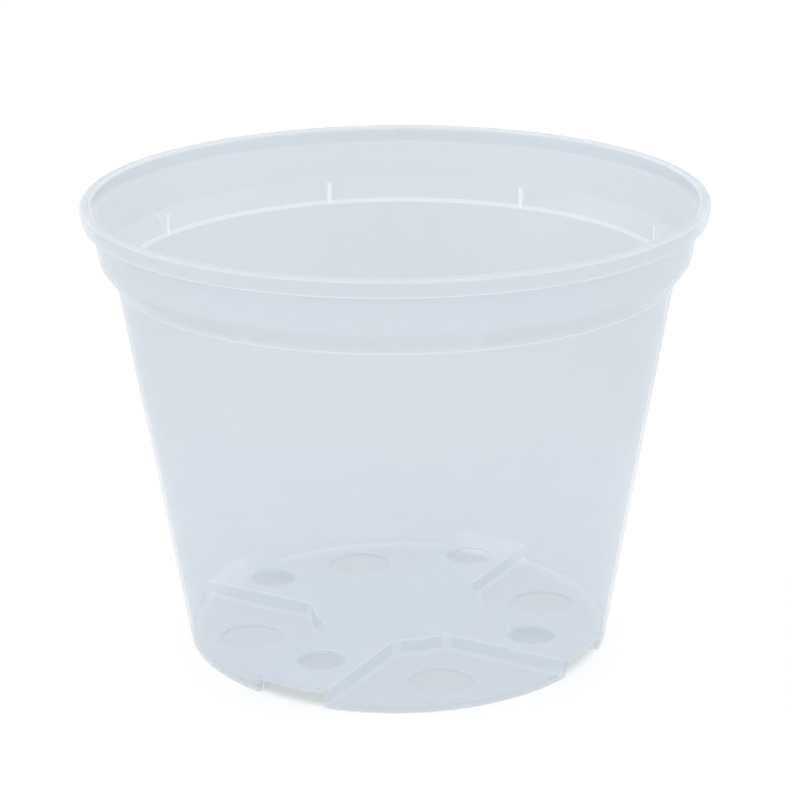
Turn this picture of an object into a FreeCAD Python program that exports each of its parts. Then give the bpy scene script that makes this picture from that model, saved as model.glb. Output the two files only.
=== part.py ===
import FreeCAD, Part
import math
import os
import re
import Sketcher

# Clear orchid pot with a slotted base: one injection moulding, so one body.
# Millimetres, +Z up. The origin is on the pot's axis, in the plane of the feet's undersides.
# Two feet lie along X and two along Y; the air channels between them run at 45 degrees.

SIZES = [
    # Outside form, turned about the axis
    ("rim_radius", 65.2, "outside of the lip at its crest, before that edge is rounded"),
    ("pot_height", 97.0, "undersides of the feet to the crest of the lip"),
    ("lip_drop", 3.8, "crest down to the lower edge of the lip's skirt"),
    ("collar_drop", 12.0, "crest down to the foot of the collar"),
    ("shoulder_drop", 16.4, "crest down to the foot of the shoulder"),
    ("skirt_gap", 0.95, "open gap between the collar and the lip's skirt, measured level"),
    ("ledge_width", 3.3, "level width of the shoulder, out to the foot of the collar"),
    ("base_radius", 45.2, "outside of the wall in the plane of the undersides"),
    ("collar_draft", 9.7, "degrees that the collar and the lip's skirt lean out"),
    # Plastic
    ("wall", 0.8, "wall, collar and skirt, measured level"),
    ("bend_lift_share", 0.41, "rise of the shoulder's inner bends over its outer ones, in walls"),
    ("crest_wall", 1.2, "plastic over the top of the groove under the lip"),
    ("floor_wall", 0.9, "floor of the feet and of the raised cross"),
    ("riser_wall", 1.4, "upright wall between a foot and a channel, measured level"),
    # Slotted base
    ("foot_height", 3.5, "height of the air channels and of their notches in the wall"),
    ("channel_half", 7.5, "half the width of a channel in the plane of the undersides"),
    ("hub_radius", 17.6, "axis to the corners of the cross's middle, in the same plane"),
    ("riser_draft", 6.5, "degrees that a channel closes in towards its ceiling"),
    ("foot_hole_radius", 6.75, "large drain hole in each foot"),
    ("foot_hole_margin", 4.65, "its edge to the inside of the wall, in the plane of the undersides"),
    ("channel_hole_radius", 5.0, "small drain hole over each channel"),
    ("channel_hole_margin", 6.9, "its edge to the inside of the wall, in the same plane"),
    # Stacking nibs
    ("nib_thickness", 1.0, "thickness of a fin"),
    ("nib_height", 4.5, "inner bend of the shoulder up to the flat top of a fin"),
    # Gate mark under the middle of the cross
    ("gate_radius", 2.3, "shallow dish round the gate"),
    ("gate_depth", 0.3, "depth of the dish"),
    ("gate_stub_radius", 0.6, "what is left of the gate"),
    ("gate_stub_height", 0.6, "height of that stub"),
    # Edges
    ("crest_round", 1.0, "both edges of the lip's crest"),
    ("shoulder_round", 0.4, "bends at the foot and the head of the shoulder"),
    ("corner_round", 2.0, "upright corners of the feet in the notches"),
    # Making
    ("overrun", 5.0, "how far a cut starts and ends outside the plastic"),
]

FEET = 4
NIBS = 8
FULL_TURN = 360
EIGHTH_TURN = 45
SNAP_SHARE = 0.00001

doc = FreeCAD.newDocument("OrchidPot")
sheet = doc.addObject("Spreadsheet::Sheet", "Sizes")
for row, (alias, value, note) in enumerate(SIZES, start=1):
    sheet.set(f"A{row}", alias)
    sheet.set(f"B{row}", str(value))
    sheet.setAlias(f"B{row}", alias)
    sheet.set(f"C{row}", note)
doc.recompute()
ALIASES = {alias for alias, value, note in SIZES}


def sized(formula):
    """Turns each alias in a formula into a reference to its cell."""
    return re.sub(
        r"[a-z_]+", lambda word: f"Sizes.{word[0]}" if word[0] in ALIASES else word[0], formula)


def measure(formula):
    """The present value of a formula, as a plain number."""
    result = sheet.evalExpression(sized(formula))
    return float(getattr(result, "Value", result))


# Sketches

def origin_item(body, role):
    """One of the body's own base planes or axes."""
    return next(item for item in body.Origin.OriginFeatures if item.Role == role)


def new_sketch(body, name, plane, lift="0", turn=0):
    """A sketch on a base plane of the body, raised by a formula and turned by degrees."""
    sketch = body.newObject("Sketcher::SketchObject", name)
    sketch.AttachmentSupport = (origin_item(body, plane), [""])
    sketch.MapMode = "FlatFace"
    turned = FreeCAD.Rotation(FreeCAD.Vector(0, 0, 1), turn)
    sketch.AttachmentOffset = FreeCAD.Placement(FreeCAD.Vector(), turned)
    sketch.setExpression("AttachmentOffset.Base.z", sized(lift))
    return sketch


def drive(sketch, constraint, formula):
    """Adds a constraint whose value follows a formula."""
    index = sketch.addConstraint(constraint)
    sketch.setExpression(f"Constraints[{index}]", sized(formula))


def pin(sketch, shape, end, across, up):
    """Ties a point of a sketch to two formulas, of which "0" puts it on an axis."""
    for kind, axis, formula in (("DistanceX", -2, across), ("DistanceY", -1, up)):
        if formula == "0":
            sketch.addConstraint(Sketcher.Constraint("PointOnObject", shape, end, axis))
        else:
            place = Sketcher.Constraint(kind, -1, 1, shape, end, measure(formula))
            drive(sketch, place, formula)


def draw_outline(sketch, corners):
    """Straight lines joined end to end through corners given as points."""
    lines = []
    for start, end in zip(corners, corners[1:] + corners[:1]):
        lines.append(sketch.addGeometry(Part.LineSegment(start, end), False))
    for line, following in zip(lines, lines[1:] + lines[:1]):
        sketch.addConstraint(Sketcher.Constraint("Coincident", line, 2, following, 1))
    return lines


def draw_section(sketch, corners):
    """A closed section whose every corner follows its two formulas."""
    points = [FreeCAD.Vector(measure(across), measure(up), 0) for across, up in corners]
    for line, (across, up) in zip(draw_outline(sketch, points), corners):
        pin(sketch, line, 1, across, up)


def draw_circle(sketch, radius, across="0", up="0"):
    """A circle whose radius and centre follow formulas."""
    centre = FreeCAD.Vector(measure(across), measure(up), 0)
    circle = Part.Circle(centre, FreeCAD.Vector(0, 0, 1), measure(radius))
    shape = sketch.addGeometry(circle, False)
    pin(sketch, shape, 3, across, up)
    drive(sketch, Sketcher.Constraint("Radius", shape, measure(radius)), radius)


def draw_cross(sketch, half, hub):
    """The outline of the air channels: four arms that meet in a twelve-cornered middle.

    The arms lie along the sketch's axes and run out past the wall. One quarter is drawn from
    formulas, and the other three are its mirror images.
    """
    shoulder = f"sqrt(({hub})^2 - ({half})^2)"
    diagonal = f"({hub}) * cos({EIGHTH_TURN})"
    reach = "base_radius + overrun"
    quarter = [(reach, half), (shoulder, half), (diagonal, diagonal), (half, shoulder), (half, reach)]
    points = [FreeCAD.Vector(measure(across), measure(up), 0) for across, up in quarter]
    mirrored = [FreeCAD.Vector(-point.x, point.y, 0) for point in reversed(points)]
    lower = [FreeCAD.Vector(point.x, -point.y, 0) for point in reversed(points + mirrored)]
    lines = draw_outline(sketch, points + mirrored + lower)
    for line, (across, up) in zip(lines, quarter):
        pin(sketch, line, 1, across, up)
    count = len(quarter)
    for step in range(count):
        twin = lines[2 * count - 1 - step]
        sketch.addConstraint(Sketcher.Constraint("Symmetric", lines[step], 1, twin, 1, -2))
    for step in range(2 * count):
        twin = lines[4 * count - 1 - step]
        sketch.addConstraint(Sketcher.Constraint("Symmetric", lines[step], 1, twin, 1, -1))


# Features

def add_feature(body, kind, name, grows, formulas=None, **settings):
    """Adds a feature and stops if it didn't add or take away plastic, as grows says."""
    before = body.Shape.Volume if body.Tip else 0
    feature = body.newObject(f"PartDesign::{kind}", name)
    for key, value in settings.items():
        setattr(feature, key, value)
    for key, formula in (formulas or {}).items():
        feature.setExpression(key, sized(formula))
    body.Tip = feature
    doc.recompute()
    change = body.Shape.Volume - before
    print(f"{name:<18}{change:>+12.1f} mm3")
    if change == 0 or (change > 0) != grows:
        raise RuntimeError(f"{name} changed the volume the wrong way or not at all")
    return feature


def repeat(body, feature, name, grows, count):
    """Copies a feature evenly round the pot's axis."""
    axis = (origin_item(body, "Z_Axis"), [""])
    return add_feature(body, "PolarPattern", name, grows, Originals=[feature], Axis=axis,
                       Angle=FULL_TURN, Occurrences=count)


def round_edges(body, name, radius, wanted):
    """Rounds those edges of the present solid that a test picks."""
    base = body.Tip
    picked = [f"Edge{number}" for number, edge in enumerate(base.Shape.Edges, start=1) if wanted(edge)]
    fillet = body.newObject("PartDesign::Fillet", name)
    fillet.Base = (base, picked)
    fillet.setExpression("Radius", sized(radius))
    body.Tip = fillet
    doc.recompute()
    print(f"{name:<18}{len(picked):>4} edges")


# Edges to round

def slack():
    """How far an edge may lie from where it is looked for."""
    return measure("pot_height") * SNAP_SHARE


def level_edge(edge, heights):
    """True for an edge that lies level at one of the heights."""
    box = edge.BoundBox
    return any(max(abs(box.ZMin - height), abs(box.ZMax - height)) < slack() for height in heights)


def notch_corner(edge):
    """True for an upright corner where a foot's side meets the outside of the wall."""
    box = edge.BoundBox
    foot = min((vertex.Point for vertex in edge.Vertexes), key=lambda point: point.z)
    from_axis = math.hypot(foot.x, foot.y)
    rises = abs(box.ZMin) < slack() and abs(box.ZMax - measure("foot_height")) < slack()
    return rises and abs(from_axis - measure("base_radius")) < slack()


# Heights and radii of the turned form, as formulas

SKIRT_FOOT = "(pot_height - lip_drop)"
GROOVE_TOP = "(pot_height - crest_wall)"
COLLAR_FOOT = "(pot_height - collar_drop)"
SHOULDER_FOOT = "(pot_height - shoulder_drop)"
BEND_LIFT = "(bend_lift_share * wall)"
COLLAR_BEND = f"({COLLAR_FOOT} + {BEND_LIFT})"
SHOULDER_BEND = f"({SHOULDER_FOOT} + {BEND_LIFT})"


def skirt_at(height):
    """Outside radius of the lip's skirt."""
    return f"(rim_radius - (pot_height - {height}) * tan(collar_draft))"


def collar_at(height):
    """Outside radius of the collar, which leans out beside the skirt."""
    return f"({skirt_at(height)} - wall - skirt_gap)"


SHOULDER_RADIUS = f"({collar_at(COLLAR_FOOT)} - ledge_width)"


def wall_at(height):
    """Outside radius of the tapered wall."""
    return f"(base_radius + {height} * ({SHOULDER_RADIUS} - base_radius) / {SHOULDER_FOOT})"


def hole_place(name):
    """How far a drain hole's centre is from the axis."""
    return f"(base_radius - wall - {name}_margin - {name}_radius)"


# The pot

def add_cross_block(body):
    """The raised cross, still full underneath, trimmed to end inside the thickness of the wall."""
    plan = new_sketch(body, "CrossPlan", "XY_Plane", turn=EIGHTH_TURN)
    draw_cross(plan, "channel_half + riser_wall", "hub_radius + riser_wall")
    add_feature(body, "Pad", "CrossBlock", True, Profile=plan,
                formulas={"Length": "foot_height + floor_wall", "TaperAngle": "-riser_draft"})
    ring = new_sketch(body, "CrossTrim", "XZ_Plane")
    low, high, far = "(-overrun)", "(foot_height + floor_wall + overrun)", "(base_radius + 3 * overrun)"
    draw_section(ring, [
        (f"{wall_at(low)} - wall / 2", low),
        (far, low),
        (far, high),
        (f"{wall_at(high)} - wall / 2", high),
    ])
    add_feature(body, "Groove", "CrossEnds", False, Profile=ring, Angle=FULL_TURN,
                ReferenceAxis=(ring, ["V_Axis"]))


def add_shell(body):
    """Floor, tapered wall, shoulder, collar and the lip with its skirt, in one turn."""
    section = new_sketch(body, "ShellSection", "XZ_Plane")
    draw_section(section, [
        ("0", "0"),
        ("base_radius", "0"),
        (SHOULDER_RADIUS, SHOULDER_FOOT),
        (collar_at(COLLAR_FOOT), COLLAR_FOOT),
        (collar_at(GROOVE_TOP), GROOVE_TOP),
        (f"{skirt_at(GROOVE_TOP)} - wall", GROOVE_TOP),
        (f"{skirt_at(SKIRT_FOOT)} - wall", SKIRT_FOOT),
        (skirt_at(SKIRT_FOOT), SKIRT_FOOT),
        ("rim_radius", "pot_height"),
        (f"{collar_at('pot_height')} - wall", "pot_height"),
        (f"{collar_at(COLLAR_BEND)} - wall", COLLAR_BEND),
        (f"{wall_at(SHOULDER_BEND)} - wall", SHOULDER_BEND),
        (f"{wall_at('floor_wall')} - wall", "floor_wall"),
        ("0", "floor_wall"),
    ])
    add_feature(body, "Revolution", "Shell", True, Profile=section, Angle=FULL_TURN,
                ReferenceAxis=(section, ["V_Axis"]))


def cut_channels(body):
    """The crossed air channels under the floor, which leave four feet and notch the wall."""
    plan = new_sketch(body, "ChannelPlan", "XY_Plane", turn=EIGHTH_TURN)
    draw_cross(plan, "channel_half", "hub_radius")
    add_feature(body, "Pocket", "Channels", False, Profile=plan, Reversed=True,
                formulas={"Length": "foot_height", "TaperAngle": "-riser_draft"})


def drill(body, name, radius, across, up):
    """One drain hole straight through the base, and its copies over the four quarters."""
    plan = new_sketch(body, f"{name}Plan", "XY_Plane")
    draw_circle(plan, radius, across, up)
    hole = add_feature(body, "Pocket", name, False, Profile=plan, SideType="Symmetric",
                       formulas={"Length": "2 * (foot_height + floor_wall + overrun)"})
    repeat(body, hole, f"{name}s", False, FEET)


def add_nibs(body):
    """The fins that stop stacked pots from jamming, which stand on the ledge of the shoulder."""
    top = f"({SHOULDER_BEND} + nib_height)"
    section = new_sketch(body, "NibSection", "XZ_Plane")
    draw_section(section, [
        (f"{wall_at(SHOULDER_BEND)} - wall", SHOULDER_BEND),
        (f"{wall_at(SHOULDER_BEND)} - wall / 2", SHOULDER_FOOT),
        (f"{collar_at(COLLAR_FOOT)} - wall / 2", COLLAR_FOOT),
        (f"{collar_at(top)} - wall / 2", top),
        (f"{wall_at(SHOULDER_BEND)} - wall", top),
    ])
    nib = add_feature(body, "Pad", "Nib", True, Profile=section, SideType="Symmetric",
                      formulas={"Length": "nib_thickness"})
    repeat(body, nib, "Nibs", True, NIBS)


def add_gate_mark(body):
    """The shallow dish and the stub of the gate, under the middle of the cross."""
    dish = new_sketch(body, "GateDishPlan", "XY_Plane", lift="foot_height")
    draw_circle(dish, "gate_radius")
    add_feature(body, "Pocket", "GateDish", False, Profile=dish, Reversed=True,
                formulas={"Length": "gate_depth"})
    stub = new_sketch(body, "GateStubPlan", "XY_Plane", lift="foot_height + gate_depth")
    draw_circle(stub, "gate_stub_radius")
    add_feature(body, "Pad", "GateStub", True, Profile=stub, Reversed=True,
                formulas={"Length": "gate_stub_height"})


def round_lip_and_shoulder(body):
    """The full round of the lip's crest and the small rounds of the shoulder's four bends."""
    crest = [measure("pot_height")]
    round_edges(body, "CrestRound", "crest_round", lambda edge: level_edge(edge, crest))
    bends = [measure(height) for height in (SHOULDER_FOOT, COLLAR_FOOT, SHOULDER_BEND, COLLAR_BEND)]
    round_edges(body, "ShoulderRound", "shoulder_round", lambda edge: level_edge(edge, bends))


def build_pot():
    """The whole moulding, in the order in which its forms depend on each other."""
    body = doc.addObject("PartDesign::Body", "Pot")
    body.Label = "pot"
    add_cross_block(body)
    add_shell(body)
    round_lip_and_shoulder(body)
    cut_channels(body)
    round_edges(body, "CornerRound", "corner_round", notch_corner)
    drill(body, "FootHole", "foot_hole_radius", hole_place("foot_hole"), "0")
    diagonal = f"{hole_place('channel_hole')} * cos({EIGHTH_TURN})"
    drill(body, "ChannelHole", "channel_hole_radius", diagonal, diagonal)
    add_nibs(body)
    add_gate_mark(body)
    body.Placement = FreeCAD.Placement()
    return body


def check_document():
    """Stops if any object of the document failed to recompute."""
    doc.recompute()
    for item in doc.Objects:
        if "Invalid" in item.State or "Error" in item.State:
            raise RuntimeError(f"{item.Name} failed: {item.State}")


def write_part(body):
    """Writes a sub-part under its label, once its shape has proved sound."""
    shape = body.Shape
    if shape.isNull() or not shape.isValid() or len(shape.Solids) != 1:
        raise RuntimeError(f"{body.Label} isn't one sound solid")
    os.makedirs("parts", exist_ok=True)
    shape.exportStep(f"parts/{body.Label}.step")
    box = shape.optimalBoundingBox()
    print(f"{body.Label}: {shape.Volume:.1f} mm3, {len(shape.Faces)} faces")
    print(f"{box.XLength:.2f} x {box.YLength:.2f} x {box.ZLength:.2f} mm from z {box.ZMin:.3f}")


pot = build_pot()
check_document()
write_part(pot)
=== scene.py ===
# %% [markdown]
# # A clear orchid pot with a slotted base
#
# The real pot is one thin injection moulding of milky, see-through plastic.
# It stands on four feet, between which two crossed air channels lift the middle of the base.
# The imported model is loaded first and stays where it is: it gives the true size and place.

# %% Load the frame
import math

import bmesh
import bpy
from mathutils import Matrix, Vector


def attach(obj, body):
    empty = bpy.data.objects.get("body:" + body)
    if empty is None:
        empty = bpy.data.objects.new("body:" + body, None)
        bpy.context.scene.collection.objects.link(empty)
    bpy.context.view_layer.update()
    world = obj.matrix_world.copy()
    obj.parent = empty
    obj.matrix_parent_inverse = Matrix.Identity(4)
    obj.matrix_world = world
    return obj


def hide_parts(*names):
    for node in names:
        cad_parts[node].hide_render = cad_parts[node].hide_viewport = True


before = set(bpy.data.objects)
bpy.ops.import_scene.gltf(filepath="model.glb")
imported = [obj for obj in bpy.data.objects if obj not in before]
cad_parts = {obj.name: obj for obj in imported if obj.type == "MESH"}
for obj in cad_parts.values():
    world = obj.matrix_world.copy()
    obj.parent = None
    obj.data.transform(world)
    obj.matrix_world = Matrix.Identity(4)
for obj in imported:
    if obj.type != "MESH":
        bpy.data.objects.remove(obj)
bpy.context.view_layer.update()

# %% [markdown]
# ## The camera
#
# The photograph looks down into the pot from a little above, with a long lens.
# The rim's ellipse gave the place, the aim and the lens, so nothing here is set by eye.
# A roll of half a degree is what is left of a tripod that didn't stand quite level.

# %% Set up the camera
MM = 0.001
CAMERA_PLACE = Vector((-131.9, -484.6, 223.5)) * MM
CAMERA_AIM = Vector((-0.18, -0.05, 52.58)) * MM
CAMERA_ROLL = math.radians(-0.47)
CAMERA_LENS = 113.38
SENSOR_WIDTH = 36
EMPTY_SPACE = bpy.context.scene.collection


def pointed(place, aim, roll=0.0):
    """The matrix of a camera or lamp at a place, looking at another."""
    look = (aim - place).to_track_quat("-Z", "Y").to_matrix().to_4x4()
    return Matrix.Translation(place) @ look @ Matrix.Rotation(roll, 4, "Z")


def set_camera():
    """Makes the camera that sees the pot as the photograph does."""
    data = bpy.data.cameras.new("camera")
    data.lens = CAMERA_LENS
    data.sensor_width = SENSOR_WIDTH
    camera = bpy.data.objects.new("camera", data)
    EMPTY_SPACE.objects.link(camera)
    camera.matrix_world = pointed(CAMERA_PLACE, CAMERA_AIM, CAMERA_ROLL)
    bpy.context.scene.camera = camera
    distance = (CAMERA_AIM - CAMERA_PLACE).length
    print("camera is", round(distance / MM), "mm from its aim")


set_camera()

# %% [markdown]
# ## Sizes
#
# A thin moulding is a section and a few cuts, so its sizes fit in a short list.
# They are in millimetres, as on a mould drawing, and each mesh is scaled to metres at its end.
# Heights count from the table and radii from the pot's axis.

# %% Name the sizes
HEIGHT = 97.0
RIM_RADIUS = 65.2
SKIRT_FOOT = 93.2
GROOVE_TOP = 95.8
SKIRT_GAP = 0.95
COLLAR_FOOT = 85.0
SHOULDER_FOOT = 80.6
LEDGE_WIDTH = 3.3
BASE_RADIUS = 45.2
WALL = 0.8
BEND_LIFT = 0.33
BEND = SHOULDER_FOOT + BEND_LIFT
FLOOR = 0.9
COLLAR_LEAN = math.tan(math.radians(9.7))
ROUND_STEPS = 256


def skirt_at(height):
    """Outside radius of the lip's skirt."""
    return RIM_RADIUS - (HEIGHT - height) * COLLAR_LEAN


def collar_at(height):
    """Outside radius of the collar."""
    return skirt_at(height) - WALL - SKIRT_GAP


SHOULDER_RADIUS = collar_at(COLLAR_FOOT) - LEDGE_WIDTH


def wall_at(height):
    """Outside radius of the tapered wall."""
    return BASE_RADIUS + height * (SHOULDER_RADIUS - BASE_RADIUS) / SHOULDER_FOOT


print("shoulder radius", round(SHOULDER_RADIUS, 2), "mm, base radius", BASE_RADIUS, "mm")

# %% [markdown]
# ## Small helpers for meshes
#
# Every form below starts as a bmesh: a mesh in memory that operators can bend, spin and cut.
# These helpers start one, repeat it round the pot's axis, close it into an object and join or
# cut objects with each other. Points nearer to each other than MERGED millimetres become one.

# %% Write the mesh helpers
MERGED = 1e-4


def as_object(bm, name):
    """Turns a bmesh in millimetres into an object in metres, with its faces pointing outwards."""
    bmesh.ops.remove_doubles(bm, verts=bm.verts, dist=MERGED)
    bmesh.ops.recalc_face_normals(bm, faces=bm.faces)
    bmesh.ops.scale(bm, vec=(MM, MM, MM), verts=bm.verts)
    mesh = bpy.data.meshes.new(name)
    bm.to_mesh(mesh)
    bm.free()
    made = bpy.data.objects.new(name, mesh)
    EMPTY_SPACE.objects.link(made)
    return made


def round_corner(bm, vert, offset, segments=4):
    """Rounds one corner of a flat outline."""
    bmesh.ops.bevel(bm, geom=[vert], offset=offset, segments=segments, profile=0.5,
                    affect="VERTICES", material=-1)


def wire(bm, corners):
    """A line of edges in the XZ plane through corners of (radius, height, rounding)."""
    verts = [bm.verts.new((across, 0, up)) for across, up, rounding in corners]
    for start, end in zip(verts, verts[1:]):
        bm.edges.new((start, end))
    for vert, (across, up, rounding) in zip(verts, corners):
        if rounding:
            round_corner(bm, vert, rounding)


def turned(corners, steps=ROUND_STEPS):
    """A form turned about the upright axis from a rounded section."""
    bm = bmesh.new()
    wire(bm, corners)
    bmesh.ops.spin(bm, geom=bm.verts[:] + bm.edges[:], cent=(0, 0, 0), axis=(0, 0, 1),
                   dvec=(0, 0, 0), angle=math.tau, steps=steps, use_merge=True,
                   use_duplicate=False)
    return bm


def repeated(bm, times):
    """Copies a form round the upright axis, until it stands there a number of times."""
    first = bm.verts[:] + bm.edges[:] + bm.faces[:]
    for turn in range(1, times):
        copy = bmesh.ops.duplicate(bm, geom=first)
        verts = [item for item in copy["geom"] if isinstance(item, bmesh.types.BMVert)]
        around = Matrix.Rotation(turn * math.tau / times, 3, "Z")
        bmesh.ops.rotate(bm, cent=(0, 0, 0), matrix=around, verts=verts)


def combine(target, tool, operation):
    """Joins a tool to the target or cuts it out, then takes the tool away."""
    modifier = target.modifiers.new(operation, "BOOLEAN")
    modifier.operation = operation
    modifier.solver = "EXACT"
    modifier.object = tool
    bpy.context.view_layer.update()
    graph = bpy.context.evaluated_depsgraph_get()
    solved = bpy.data.meshes.new_from_object(target.evaluated_get(graph))
    target.modifiers.clear()
    target.data = solved
    bpy.data.objects.remove(tool)
    print(f"{operation.lower()}: {len(solved.polygons)} faces")


# %% [markdown]
# ## The turned shell
#
# Floor, wall, shoulder, collar and lip all come from one section turned about the axis.
# Each corner of the section is bevelled before the turn, because the thin bright lines on clear
# plastic are highlights in its rounded edges, and a sharp edge would show none.
# Each row of the section gives a radius, a height and a rounding.

# %% Turn the shell
FOOT_RING = 1.6
LOW_RING = 6.5
HIGH_RING = 9.0
SECTION = [
    (0, 0, 0),
    (BASE_RADIUS, 0, 0.35),
    (wall_at(FOOT_RING), FOOT_RING, 0),
    (wall_at(LOW_RING), LOW_RING, 0),
    (wall_at(HIGH_RING), HIGH_RING, 0),
    (SHOULDER_RADIUS, SHOULDER_FOOT, 0.5),
    (collar_at(COLLAR_FOOT), COLLAR_FOOT, 0.5),
    (collar_at(SKIRT_FOOT), SKIRT_FOOT, 0),
    (collar_at(GROOVE_TOP), GROOVE_TOP, 0.25),
    (skirt_at(GROOVE_TOP) - WALL, GROOVE_TOP, 0.25),
    (skirt_at(SKIRT_FOOT) - WALL, SKIRT_FOOT, 0.25),
    (skirt_at(SKIRT_FOOT), SKIRT_FOOT, 0.25),
    (RIM_RADIUS, HEIGHT, 1.19),
    (collar_at(HEIGHT) - WALL, HEIGHT, 0.85),
    (collar_at(SKIRT_FOOT) - WALL, SKIRT_FOOT, 0),
    (collar_at(COLLAR_FOOT + BEND_LIFT) - WALL, COLLAR_FOOT + BEND_LIFT, 0.5),
    (wall_at(BEND) - WALL, BEND, 0.5),
    (wall_at(HIGH_RING) - WALL, HIGH_RING, 0),
    (wall_at(LOW_RING) - WALL, LOW_RING, 0),
    (wall_at(FLOOR) - WALL, FLOOR, 0.5),
    (0, FLOOR, 0),
]
shell = turned(SECTION)
half_step = Matrix.Rotation(math.pi / ROUND_STEPS, 3, "Z")
bmesh.ops.rotate(shell, cent=(0, 0, 0), matrix=half_step, verts=shell.verts)
pot = as_object(shell, "clear_pot")
print("shell:", len(pot.data.polygons), "faces")

# %% [markdown]
# ## The raised cross
#
# The base is lifted along two crossed arms, so that air gets in under the pot.
# Cross and channels are drafted, which means that their sides lean so the mould lets go.
# Insetting a face while lifting it makes such a side, and several small steps round an edge.
# An inset of almost nothing keeps a side upright.

# %% Write the cross form
CHANNEL_HALF = 7.5
HUB_RADIUS = 17.6
RISER_WALL = 1.4
FOOT_HEIGHT = 3.5
DRAFT = math.tan(math.radians(6.5))
CORNER_ROUND = 2.0
MOUTH_TURN = math.radians(40)
HUB_ROUND = 0.8
OVERRUN = 5.0
STRAIGHT = 0.0001


def cross_plan(half, hub, flared):
    """The cross seen from above, lying flat: four arms along the diagonals and a wide middle."""
    shoulder = math.sqrt(hub ** 2 - half ** 2)
    diagonal = hub * math.cos(math.pi / 4)
    reach = BASE_RADIUS + OVERRUN
    bm = bmesh.new()
    quarter = [(reach, -half), (reach, half), (shoulder, half), (diagonal, diagonal),
               (half, shoulder)]
    if flared:
        mouth = math.sqrt(wall_at(FOOT_HEIGHT / 2) ** 2 - half ** 2)
        lean = half / mouth
        wide = 3 * CORNER_ROUND
        back = mouth - wide * lean
        quarter[:2] = [(reach, -half - wide), (reach, half + wide), (back, half + wide),
                       (mouth, half)]
        quarter += [(half, mouth), (half + wide, back)]
    verts = []
    for turn in range(4):
        around = Matrix.Rotation(math.pi / 4 + turn * math.pi / 2, 3, "Z")
        verts += [bm.verts.new(around @ Vector((across, up, 0))) for across, up in quarter]
    bm.faces.new(verts)
    count = len(quarter)
    corner = CORNER_ROUND * math.tan(MOUTH_TURN)
    for step, vert in enumerate(verts):
        if flared and step % count in (3, count - 2):
            round_corner(bm, vert, corner, 6)
    for vert in [v for v in bm.verts if v.co.length < hub + 1]:
        round_corner(bm, vert, HUB_ROUND)
    return bm


def lifted(bm, steps):
    """Lifts the plan into a solid through (inset, rise) steps that begin at its first height."""
    bmesh.ops.recalc_face_normals(bm, faces=bm.faces)
    top = bm.faces[:][0]
    if top.normal.z < 0:
        bmesh.ops.reverse_faces(bm, faces=[top])
    for inset, rise in steps:
        bmesh.ops.inset_region(bm, faces=[top], thickness=inset, depth=rise, use_boundary=True,
                               use_even_offset=True)
    rim = [edge for edge in bm.edges if edge.is_boundary]
    bmesh.ops.holes_fill(bm, edges=rim, sides=0)


def arc_steps(radius, hollow, count=3):
    """(inset, rise) steps of a quarter round: hollow starts flat, and full ends flat."""
    steps = []
    for step in range(count):
        start, end = step * math.pi / 2 / count, (step + 1) * math.pi / 2 / count
        flat = radius * (math.sin(end) - math.sin(start))
        steep = radius * (math.cos(start) - math.cos(end))
        steps.append((flat, steep) if hollow else (steep, flat))
    return steps


def drafted(rise):
    """One step up a leaning side."""
    return [(rise * DRAFT, rise)]


# %% [markdown]
# ## The block that lifts the base
#
# Seen from inside, the cross is a raised block on the floor, with a hollow round at its foot.
# It is lifted from its plan, kept to the inside of the wall and joined to the shell.
# A Boolean is used because the block's edge has to follow the conical wall exactly.

# %% Join the cross block
FILLET = 0.35
FOOT_FILLET = 0.8
SUNK = 0.03
plan = cross_plan(CHANNEL_HALF + RISER_WALL + FOOT_FILLET,
                  HUB_RADIUS + RISER_WALL + FOOT_FILLET, False)
lifted(plan, [(STRAIGHT, FLOOR / 2)] + arc_steps(FOOT_FILLET, True)
       + drafted(FOOT_HEIGHT + SUNK - FOOT_FILLET - FILLET) + arc_steps(FILLET, False))
bmesh.ops.translate(plan, vec=(0, 0, FLOOR / 2 - SUNK), verts=plan.verts)
block = as_object(plan, "cross_block")
inside = [(0, -OVERRUN, 0), (wall_at(-OVERRUN) - WALL / 2, -OVERRUN, 0),
          (wall_at(2 * OVERRUN) - WALL / 2, 2 * OVERRUN, 0), (0, 2 * OVERRUN, 0)]
combine(block, as_object(turned(inside), "inside"), "INTERSECT")
combine(pot, block, "UNION")

# %% [markdown]
# ## The channels under the block
#
# From below, the same cross is a hollow, one wall thickness smaller than the block.
# Its four ends run out through the wall, with widened and rounded mouths: these are the notches
# between the feet that the photograph shows along the bottom edge.

# %% Cut the channels
plan = cross_plan(CHANNEL_HALF + FILLET, HUB_RADIUS + FILLET, True)
lifted(plan, [(STRAIGHT, OVERRUN)] + arc_steps(FILLET, True)
       + drafted(FOOT_HEIGHT - 2 * FILLET) + arc_steps(FILLET, False))
bmesh.ops.translate(plan, vec=(0, 0, -OVERRUN), verts=plan.verts)
combine(pot, as_object(plan, "channels"), "DIFFERENCE")

# %% [markdown]
# ## The drain holes
#
# Each foot has one large hole, and each channel has a small one in its roof, so water runs out
# and air gets in. In the mould they are pins, here they are spool-shaped cutters: their flared
# ends take off the sharp edge, which is what draws the bright rim round each hole.

# %% Drill the holes
FOOT_HOLE = 6.75
FOOT_HOLE_PLACE = 33.0
CHANNEL_HOLE = 5.0
CHANNEL_HOLE_PLACE = 32.5
HOLE_ROUND = 0.12
HOLE_STEPS = 72
PIN_BEND = 0.1
PIN_REACH = 1


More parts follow.
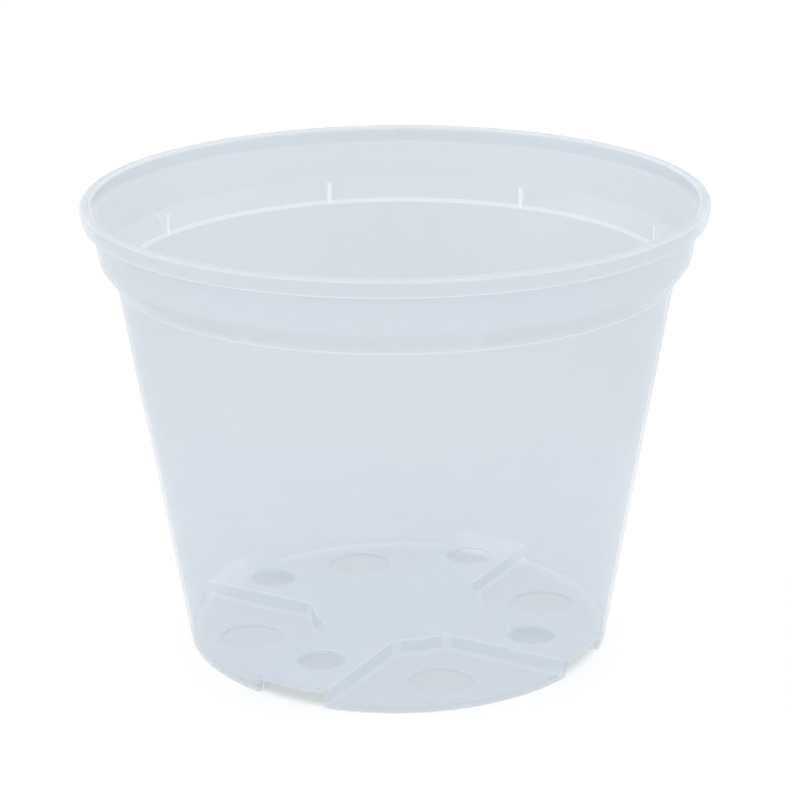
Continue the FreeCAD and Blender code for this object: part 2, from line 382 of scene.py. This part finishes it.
def hole_cutters(radius, place, low, first_turn, name):
    """Four spool-shaped cutters, whose flared ends round both edges of each hole."""
    high = low + FLOOR
    flare = radius + HOLE_ROUND
    foot, head = low - PIN_REACH, high + PIN_REACH
    section = [(0, foot, 0), (flare + PIN_REACH, foot, 0), (radius, low + HOLE_ROUND, PIN_BEND),
               (radius, high - HOLE_ROUND, PIN_BEND), (flare + PIN_REACH, head, 0), (0, head, 0)]
    bm = turned(section, HOLE_STEPS)
    bmesh.ops.remove_doubles(bm, verts=bm.verts, dist=MERGED)
    bmesh.ops.translate(bm, vec=(place, 0, 0), verts=bm.verts)
    around = Matrix.Rotation(first_turn, 3, "Z")
    bmesh.ops.rotate(bm, cent=(0, 0, 0), matrix=around, verts=bm.verts)
    repeated(bm, 4)
    return as_object(bm, name)


foot_pins = hole_cutters(FOOT_HOLE, FOOT_HOLE_PLACE, 0, 0, "foot_holes")
combine(pot, foot_pins, "DIFFERENCE")
channel_pins = hole_cutters(CHANNEL_HOLE, CHANNEL_HOLE_PLACE, FOOT_HEIGHT, math.pi / 4,
                            "channel_holes")
combine(pot, channel_pins, "DIFFERENCE")

# %% [markdown]
# ## The stacking nibs
#
# Eight thin fins stand on the inner ledge, and keep stacked pots from jamming in each other.
# One is drawn as a side view, pushed out to its thickness, rounded along its free edges and
# repeated round the axis. Its lower corners are sunk in the wall, where the join hides them.

# %% Stand the nibs on the ledge
NIB_COUNT = 8
NIB_THICKNESS = 1.0
NIB_HEIGHT = 4.5
NIB_ROUND = 0.15
FRONT_SUNK = 1
BACK_SUNK = 0.4
HAIR = 0.01


def nibs():
    """Eight upright fins, each a section pushed out to its thickness."""
    top = BEND + NIB_HEIGHT
    bm = bmesh.new()
    corners = [(wall_at(BEND) - WALL, BEND - FRONT_SUNK),
               (wall_at(BEND) - WALL / 2, SHOULDER_FOOT - BACK_SUNK),
               (collar_at(COLLAR_FOOT) - WALL / 2, COLLAR_FOOT), (collar_at(top) - WALL / 2, top),
               (wall_at(BEND) - WALL, top)]
    face = bm.faces.new([bm.verts.new((across, -NIB_THICKNESS / 2, up)) for across, up in corners])
    pushed = bmesh.ops.extrude_face_region(bm, geom=[face])
    verts = [item for item in pushed["geom"] if isinstance(item, bmesh.types.BMVert)]
    bmesh.ops.translate(bm, vec=(0, NIB_THICKNESS, 0), verts=verts)
    inner = wall_at(BEND) - WALL + HAIR
    free = [edge for edge in bm.edges
            if all(v.co.z > BEND + HAIR or v.co.x < inner for v in edge.verts)
            and any(v.co.x < inner for v in edge.verts)]
    bmesh.ops.bevel(bm, geom=free, offset=NIB_ROUND, segments=3, profile=0.5, affect="EDGES",
                    material=-1)
    repeated(bm, NIB_COUNT)
    return as_object(bm, "nibs")


combine(pot, nibs(), "UNION")

# %% [markdown]
# ## The gate mark
#
# The plastic entered the mould in the middle of the base. It leaves a small dish underneath,
# with the stub of the runner in it, which shows through as a faint ring.

# %% Mark the gate
GATE_RADIUS = 2.3
GATE_DEPTH = 0.3
STUB_RADIUS = 0.6
STUB_HEIGHT = 0.6
dish_foot = FOOT_HEIGHT - 0.5
dish_top = FOOT_HEIGHT + GATE_DEPTH
stub_foot = dish_top - STUB_HEIGHT
stub_top = dish_top + 0.3
dish = turned([(0, dish_foot, 0), (GATE_RADIUS, dish_foot, 0), (GATE_RADIUS, dish_top, 0.2),
               (0, dish_top, 0)], 48)
stub = turned([(0, stub_foot, 0), (STUB_RADIUS, stub_foot, 0.1), (STUB_RADIUS, stub_top, 0),
               (0, stub_top, 0)], 24)
combine(pot, as_object(dish, "gate_dish"), "DIFFERENCE")
combine(pot, as_object(stub, "gate_stub"), "UNION")

# %% [markdown]
# ## Where the light gathers
#
# Milky plastic pipes light along its walls and lets it out at edges, bends and thick places. That
# is why the real pot has thin bright lines, while its walls are one even tone. Here that light is
# painted: each face gets a number for it, the attribute edge_light, from what the face is: part of
# a rounded edge, a nib, the doubled lip or the slotted base, whose floors and sides are painted
# lighter too. The material reads that number and paints the face paler by it.
# Each row of LIT_LINES gives a bend's radius and height, its reach and its light.
# A join keeps no names, so a face is known by its place, and the margins, in millimetres, allow
# for the small roundings between two parts.
# The smooth shading is broken where two faces meet at more than 40 degrees, and weighted
# normals keep the flat faces flat beside the small rounded ones.

# %% Smooth the faces and mark their light
SMOOTH_BELOW = math.radians(40)
FLAT_WEIGHT = 80
EDGE_TURN = math.radians(10)
EDGE_WIDTH = 0.6 * MM
BASE_TOP = FOOT_HEIGHT + 2 * FLOOR
LEVEL = 0.98
FACING = 0.3
HUB_MARGIN = 0.5
WALL_MARGIN = 0.3
CREST_MARGIN = 0.3
NIB_MARGIN = 0.2
LEDGE_MARGIN = 0.1
NIB_REACH = 0.6 * NIB_THICKNESS
HUB_LIGHT = 0.47
FOOT_LIGHT = 0.55
RISER_LIGHT = 0.45
FOOT_EDGE_LIGHT = 0.15
EDGE_LIGHT = 0.7
SKIRT_LIGHT = 0.0
GROOVE_LIGHT = 0.1
COLLAR_TOP_LIGHT = 0.05
NIB_LIGHT = 0.8
NIB_SIDE_LIGHT = 0.35
LIT_LINES = [
    (RIM_RADIUS - 0.35, HEIGHT - 0.25, 0.4, 0.3),
    (collar_at(HEIGHT) - WALL + 0.25, HEIGHT - 0.2, 0.4, 0.35),
    (skirt_at(SKIRT_FOOT) - WALL / 2, SKIRT_FOOT, 0.55, 0.5),
    (SHOULDER_RADIUS, SHOULDER_FOOT, 0.2, 0.3),
    (wall_at(BEND) - WALL, BEND, 0.6, 0.4),
]


def nib_light(face, centre, radius):
    """The light in the eight fins: most in the upright edge, a little in the sides."""
    share = math.tau / NIB_COUNT
    aside = abs((math.atan2(centre.y, centre.x) + share / 2) % share - share / 2) * radius
    slope = LEDGE_WIDTH / (COLLAR_FOOT - SHOULDER_FOOT)
    ledge = SHOULDER_RADIUS + (min(centre.z, COLLAR_FOOT) - SHOULDER_FOOT) * slope - WALL
    free = radius < ledge - LEDGE_MARGIN
    upright = BEND + NIB_MARGIN < centre.z < BEND + NIB_HEIGHT + NIB_MARGIN
    if not free or aside > NIB_REACH or not upright:
        return 0.0
    outward = Vector((centre.x, centre.y, 0)).normalized()
    return NIB_LIGHT if abs(face.normal.dot(outward)) > FACING else NIB_SIDE_LIGHT


def base_light(face, centre, radius):
    """The light in a face of the slotted base."""
    if radius > wall_at(centre.z) - WALL - WALL_MARGIN:
        return FOOT_EDGE_LIGHT if centre.z < FOOT_RING else 0.0
    if abs(face.normal.z) > LEVEL:
        return HUB_LIGHT if centre.z > FOOT_HEIGHT - HUB_MARGIN else FOOT_LIGHT
    narrow = face.calc_area() / max(edge.calc_length() for edge in face.edges) < EDGE_WIDTH
    if narrow and any(edge.calc_face_angle(0) > EDGE_TURN for edge in face.edges):
        return EDGE_LIGHT
    return RISER_LIGHT


def lip_light(centre, radius):
    """The light in the folded lip, where the wall and the skirt hang behind each other."""
    if centre.z < SKIRT_FOOT:
        return 0.0
    if radius > skirt_at(centre.z) - WALL / 2 or centre.z > GROOVE_TOP + CREST_MARGIN:
        return SKIRT_LIGHT
    return GROOVE_LIGHT if radius > collar_at(centre.z) - WALL / 2 else COLLAR_TOP_LIGHT


def edge_light(face):
    """How much light gathers in a face: none in a plain wall, most in the edges of the nibs."""
    centre = face.calc_center_median() / MM
    radius = math.hypot(centre.x, centre.y)
    if centre.z < BASE_TOP:
        return base_light(face, centre, radius)
    in_nib = nib_light(face, centre, radius)
    if in_nib:
        return in_nib
    for line_radius, line_height, reach, light in LIT_LINES:
        if math.hypot(radius - line_radius, centre.z - line_height) < reach:
            return light
    return lip_light(centre, radius)


def shade_and_mark(made):
    """Shades faces smoothly into each other except across sharp edges, and marks their light."""
    bm = bmesh.new()
    bm.from_mesh(made.data)
    bmesh.ops.remove_doubles(bm, verts=bm.verts, dist=MERGED * MM)
    bmesh.ops.dissolve_degenerate(bm, edges=bm.edges, dist=MERGED * MM)
    mark = bm.faces.layers.float.new("edge_light")
    for face in bm.faces:
        face.smooth = True
        face[mark] = edge_light(face)
    for edge in bm.edges:
        edge.smooth = edge.is_manifold and edge.calc_face_angle(0) < SMOOTH_BELOW
    open_edges = sum(1 for edge in bm.edges if not edge.is_manifold)
    lit = sum(1 for face in bm.faces if face[mark])
    volume = round(bm.calc_volume() / MM ** 3, 1)
    print("faces", len(bm.faces), "lit", lit, "open edges", open_edges, "volume", volume, "mm3")
    bm.to_mesh(made.data)
    bm.free()


shade_and_mark(pot)
weighted = pot.modifiers.new("flat faces stay flat", "WEIGHTED_NORMAL")
weighted.keep_sharp = True
weighted.weight = FLAT_WEIGHT

# %% [markdown]
# ## Node helpers
#
# A material is a small program of nodes. These helpers make the nodes that come back often, so
# that the paper, the sky and the plastic below read as recipes.

# %% Write the node helpers
def math_node(tree, operation, first, second=0.0):
    """A Math node between two sockets or numbers."""
    node = tree.nodes.new("ShaderNodeMath")
    node.operation = operation
    for socket, value in zip(node.inputs, (first, second)):
        if isinstance(value, (int, float)):
            socket.default_value = value
        else:
            tree.links.new(value, socket)
    return node.outputs[0]


def group_with(name, inputs, outputs):
    """An empty shader node group with named value sockets."""
    tree = bpy.data.node_groups.new(name, "ShaderNodeTree")
    for way, labels in (("INPUT", inputs), ("OUTPUT", outputs)):
        for label in labels:
            tree.interface.new_socket(name=label, in_out=way, socket_type="NodeSocketFloat")
    return tree, tree.nodes.new("NodeGroupInput"), tree.nodes.new("NodeGroupOutput")


def mixed(tree, kind, factor, first, second):
    """A Mix node of colours or numbers."""
    node = tree.nodes.new("ShaderNodeMix")
    node.data_type = kind
    tree.links.new(factor, node.inputs["Factor"])
    for socket, value in ((node.inputs["A"], first), (node.inputs["B"], second)):
        if isinstance(value, bpy.types.NodeSocket):
            tree.links.new(value, socket)
        else:
            socket.default_value = value
    return node.outputs["Result"]


def smooth_rise(tree, value, start, end):
    """0 up to the start, 1 from the end on, and a smooth rise between them."""
    node = tree.nodes.new("ShaderNodeMapRange")
    node.interpolation_type = "SMOOTHSTEP"
    node.inputs["From Min"].default_value = start
    node.inputs["From Max"].default_value = end
    tree.links.new(value, node.inputs["Value"])
    return node.outputs["Result"]


# %% [markdown]
# ## The studio
#
# The photograph is a catalogue picture: pale paper, and light from all round, so that the pot
# has hardly a shadow. Most of the light here is the even sky of the world, and six large lamps
# add a little form. The world looks white to the camera and in reflections, but lights the pot
# at a plain level, so that the colours come out about as they are written.
# Under the pot the paper is painted a soft, slightly cyan grey: a painted shadow of the pot, which
# shows through the drain holes and the notches and fades out just past the base.

# %% Lay the paper and hang the sky
FLOOR_SHADE = (0.92, 0.92, 0.92, 1)
PAINTED_SHADOW = (0.644, 0.671, 0.672, 1)
UNDER_POT = 0.042
CLEAR_OF_POT = 0.0455
PAPER_HALF = 8.0
PAPER_ROUGH = 0.9
SKY = 0.8


def white_paper():
    """Dull white paper, with the pot's shadow painted grey under it."""
    material = bpy.data.materials.new("white_paper")
    material.use_nodes = True
    tree = material.node_tree
    shader = tree.nodes["Principled BSDF"]
    place = tree.nodes.new("ShaderNodeTexCoord").outputs["Object"]
    distance = tree.nodes.new("ShaderNodeVectorMath")
    distance.operation = "LENGTH"
    tree.links.new(place, distance.inputs[0])
    clear = smooth_rise(tree, distance.outputs["Value"], UNDER_POT, CLEAR_OF_POT)
    # The pot's shadow is painted here: grey under the pot, fading to the white paper just past its
    # base.
    colour = mixed(tree, "RGBA", clear, PAINTED_SHADOW, FLOOR_SHADE)
    tree.links.new(colour, shader.inputs["Base Color"])
    shader.inputs["Roughness"].default_value = PAPER_ROUGH
    shader.inputs["Specular IOR Level"].default_value = 0.0
    return material


def make_floor():
    """Lays one large flat sheet of the paper under the pot."""
    mesh = bpy.data.meshes.new("floor")
    sheet = bmesh.new()
    bmesh.ops.create_grid(sheet, x_segments=1, y_segments=1, size=PAPER_HALF)
    sheet.to_mesh(mesh)
    sheet.free()
    floor = bpy.data.objects.new("floor", mesh)
    EMPTY_SPACE.objects.link(floor)
    mesh.materials.append(white_paper())


def make_world():
    """White wherever it is seen, and a softer white where it only gives light."""
    world = bpy.data.worlds.new("studio")
    bpy.context.scene.world = world
    world.use_nodes = True
    tree = world.node_tree
    back = tree.nodes["Background"]
    path = tree.nodes.new("ShaderNodeLightPath")
    seen = math_node(tree, "MAXIMUM", path.outputs["Is Camera Ray"], path.outputs["Is Glossy Ray"])
    seen = math_node(tree, "MAXIMUM", seen, path.outputs["Is Transmission Ray"])
    tree.links.new(mixed(tree, "FLOAT", seen, SKY, 1.0), back.inputs["Strength"])
    back.inputs["Color"].default_value = (1, 1, 1, 1)


make_floor()
make_world()
print("paper:", 2 * PAPER_HALF, "m wide, sky", SKY)

# %% [markdown]
# ## The lamps
#
# Four large lamps stand round the pot at a little over a third of the way up to overhead, the
# front one slightly brighter, and two weak ones stand low at the sides. Large lamps make soft
# reflections. Each row gives a name, the turn and the height in degrees, the distance, the two
# sides in metres, and how bright its face is.

# %% Set the lamps
VIEW_TURN = -15.2
LAMP_AIM = Vector((0, 0, 0.05))
WATTS_PER_GLOW = 4
LAMPS = [
    ("front_lamp", 0, 36, 1.3, 1.2, 0.45, 1.8),
    ("left_lamp", -95, 34, 1.3, 0.9, 0.45, 1.5),
    ("right_lamp", 95, 34, 1.3, 0.9, 0.45, 1.5),
    ("back_lamp", 180, 38, 1.3, 1.0, 0.45, 1.5),
    ("low_left_lamp", -50, 5, 1.3, 1.1, 0.5, 0.6),
    ("low_right_lamp", 75, 5, 1.3, 0.9, 0.5, 0.6),
]


def make_lamp(name, azimuth, elevation, distance, width, height, glow):
    """A large flat lamp that looks at the pot."""
    data = bpy.data.lights.new(name, "AREA")
    data.shape = "RECTANGLE"
    data.size = width
    data.size_y = height
    data.energy = glow * WATTS_PER_GLOW * width * height
    lamp = bpy.data.objects.new(name, data)
    EMPTY_SPACE.objects.link(lamp)
    side = math.radians(azimuth + VIEW_TURN)
    up = math.radians(elevation)
    aside, ahead = math.sin(side) * math.cos(up), -math.cos(side) * math.cos(up)
    place = Vector((aside, ahead, math.sin(up))) * distance
    lamp.matrix_world = pointed(place, LAMP_AIM)


for lamp in LAMPS:
    make_lamp(*lamp)
print("lamps:", len(LAMPS))

# %% [markdown]
# ## Clear, milky plastic
#
# Natural polypropylene isn't glass: a thin wall lets you see what stands close behind it, and
# veils it with a cool, milky white. Refraction would make it look like glass, and a single
# transparency like foil. So each face hides part of what is behind it, the haze, and shows its
# own pale colour instead. Two faces make a wall, and four make the two walls of the pot.
# The haze is thin near the base, where the pot was drawn deepest, and full above. The height at
# which it thickens is scattered from point to point, so that no line shows there.
# The milk throws light forward: it veils what is behind, but hardly keeps light from it. So rays
# that only carry light, to a lamp or between two dull faces, meet a small share of the haze.

# %% Name the plastic's values
PLASTIC = (0.585, 0.639, 0.691, 1)
# A darker colour near the base: painted shade, for the lesser light that reaches the low wall and
# the base.
SHADED_LOW_PLASTIC = (0.528, 0.596, 0.68, 1)
# The near-white colour that paints the light gathered in edges, nibs, lip and base floors.
PAINTED_LIGHT_PLASTIC = (0.90, 0.92, 0.94, 1)
HAZE = 0.6
LOW_HAZE = 0.3
LOW_HAZE_TOP = 0.03
FULL_HAZE_FROM = 0.05
HAZE_SPREAD = 0.02
EDGE_HAZE = 0.8
LIGHT_SHARE = 0.3
ROUGH = 0.25
GLOSS = 0.12
CLOUD_SIZE = 0.012
CLOUD_DEPTH = 0.015
WAVE_HEIGHT = 0.04 * MM
BUMP = 0.1
GRAIN_SHARE = 0.1
GRAIN_SIZE = 0.0009
SPECK_CELL = 0.006
SPECK_SIZE = 0.03
SPECK = (0.55, 0.58, 0.60, 1)

# %% [markdown]
# ## Clouds, grain and dust
#
# No moulding is perfectly even. The melt cools in soft clouds, the steel of the mould leaves a
# faint grain, and the pot has picked up a few specks of dust. Clouds and specks are node groups
# with their sizes as inputs, because the grain is only the same clouds at a much smaller size.

# %% Build the node groups
CLOUD_DETAIL = 3.0
CLOUD_MEAN = 0.5
CLOUD_GAIN = 4.0


def cloud_group():
    """Soft clouds through the plastic: how far the haze differs from its mean, from -1 to 1."""
    tree, given, out = group_with("haze_clouds", ["Cloud Size"], ["Clouds"])
    place = tree.nodes.new("ShaderNodeTexCoord").outputs["Object"]
    noise = tree.nodes.new("ShaderNodeTexNoise")
    noise.inputs["Detail"].default_value = CLOUD_DETAIL
    tree.links.new(place, noise.inputs["Vector"])
    scale = math_node(tree, "DIVIDE", 1.0, given.outputs["Cloud Size"])
    tree.links.new(scale, noise.inputs["Scale"])
    centred = math_node(tree, "SUBTRACT", noise.outputs["Fac"], CLOUD_MEAN)
    tree.links.new(math_node(tree, "MULTIPLY", centred, CLOUD_GAIN), out.inputs["Clouds"])
    return tree


def speck_group():
    """Sparse dust: 1 on a speck and 0 between them."""
    tree, given, out = group_with("dust_specks", ["Cell Size", "Speck Size"], ["Specks"])
    place = tree.nodes.new("ShaderNodeTexCoord").outputs["Object"]
    cells = tree.nodes.new("ShaderNodeTexVoronoi")
    tree.links.new(place, cells.inputs["Vector"])
    scale = math_node(tree, "DIVIDE", 1.0, given.outputs["Cell Size"])
    tree.links.new(scale, cells.inputs["Scale"])
    near = math_node(tree, "LESS_THAN", cells.outputs["Distance"], given.outputs["Speck Size"])
    tree.links.new(near, out.inputs["Specks"])
    return tree


def placed(tree, group, **values):
    """A group node in a material, with its own values."""
    node = tree.nodes.new("ShaderNodeGroup")
    node.node_tree = group
    for label, value in values.items():
        node.inputs[label.replace("_", " ")].default_value = value
    return node.outputs[0]


# %% [markdown]
# ## The finish
#
# Colour and haze both rise with the light painted into a face: lit edges and floors get a paler
# colour and a denser haze, which is painted light. The clouds vary haze and roughness a little,
# and with the grain they also bend the surface by a few hundredths of a millimetre, which breaks
# up the reflections.

# %% Mix the clear plastic
def haze_rise(tree):
    """How far the haze has thickened: 0 near the base and 1 high up."""
    place = tree.nodes.new("ShaderNodeTexCoord").outputs["Object"]
    split = tree.nodes.new("ShaderNodeSeparateXYZ")
    tree.links.new(place, split.inputs["Vector"])
    scatter = tree.nodes.new("ShaderNodeTexWhiteNoise")
    tree.links.new(place, scatter.inputs["Vector"])
    spread = math_node(tree, "MULTIPLY", scatter.outputs["Value"], HAZE_SPREAD)
    lowered = math_node(tree, "SUBTRACT", split.outputs["Z"], spread)
    return smooth_rise(tree, lowered, LOW_HAZE_TOP, FULL_HAZE_FROM)


def veil(tree, haze):
    """The alpha: all the haze for what is seen, and a share of it for rays that carry light."""
    path = tree.nodes.new("ShaderNodeLightPath")
    carries = math_node(tree, "MAXIMUM", path.outputs["Is Shadow Ray"],
                        path.outputs["Is Diffuse Ray"])
    thinner = math_node(tree, "MULTIPLY", haze, LIGHT_SHARE)
    return mixed(tree, "FLOAT", carries, haze, thinner)


def waves(tree, clouds, grain):
    """The normal of a surface that clouds and grain bend a little."""
    height = math_node(tree, "ADD", clouds, math_node(tree, "MULTIPLY", grain, GRAIN_SHARE))
    bump = tree.nodes.new("ShaderNodeBump")
    bump.inputs["Strength"].default_value = BUMP
    bump.inputs["Distance"].default_value = WAVE_HEIGHT
    tree.links.new(height, bump.inputs["Height"])
    return bump.outputs["Normal"]


def clear_plastic():
    """Milky clear plastic: each face hides a part of what is behind it."""
    material = bpy.data.materials.new("clear_plastic")
    material.use_nodes = True
    tree = material.node_tree
    shader = tree.nodes["Principled BSDF"]
    edge = tree.nodes.new("ShaderNodeAttribute")
    edge.attribute_name = "edge_light"
    cloud_tree = cloud_group()
    clouds = placed(tree, cloud_tree, Cloud_Size=CLOUD_SIZE)
    grain = placed(tree, cloud_tree, Cloud_Size=GRAIN_SIZE)
    specks = placed(tree, speck_group(), Cell_Size=SPECK_CELL, Speck_Size=SPECK_SIZE)
    rise = haze_rise(tree)
    plain_haze = mixed(tree, "FLOAT", rise, LOW_HAZE, HAZE)
    haze = mixed(tree, "FLOAT", edge.outputs["Fac"], plain_haze, EDGE_HAZE)
    # The colour darkens towards the base with the same rise as the haze: painted shade.
    plain = mixed(tree, "RGBA", rise, SHADED_LOW_PLASTIC, PLASTIC)
    # Painted light: the edge_light number turns the colour towards the near-white of the lit
    # faces.
    colour = mixed(tree, "RGBA", edge.outputs["Fac"], plain, PAINTED_LIGHT_PLASTIC)
    tree.links.new(mixed(tree, "RGBA", specks, colour, SPECK), shader.inputs["Base Color"])
    drift = math_node(tree, "MULTIPLY", clouds, CLOUD_DEPTH)
    cloudy = math_node(tree, "ADD", haze, drift)
    tree.links.new(veil(tree, cloudy), shader.inputs["Alpha"])
    tree.links.new(math_node(tree, "ADD", ROUGH, drift), shader.inputs["Roughness"])
    tree.links.new(waves(tree, clouds, grain), shader.inputs["Normal"])
    shader.inputs["Specular IOR Level"].default_value = GLOSS
    return material


# %% [markdown]
# ## Dress the model
#
# The pot replaces the imported solid, which stays behind it for collisions. Light passes through
# many faces here, so the number of see-through hits is raised, so that rays don't stop dark in
# them.

# %% Finish the pot
SEE_THROUGH_HITS = 32
pot.data.materials.clear()
pot.data.materials.append(clear_plastic())
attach(pot, "root")
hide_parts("pot")
bpy.context.scene.cycles.transparent_max_bounces = SEE_THROUGH_HITS
bpy.context.scene.view_settings.view_transform = "Standard"
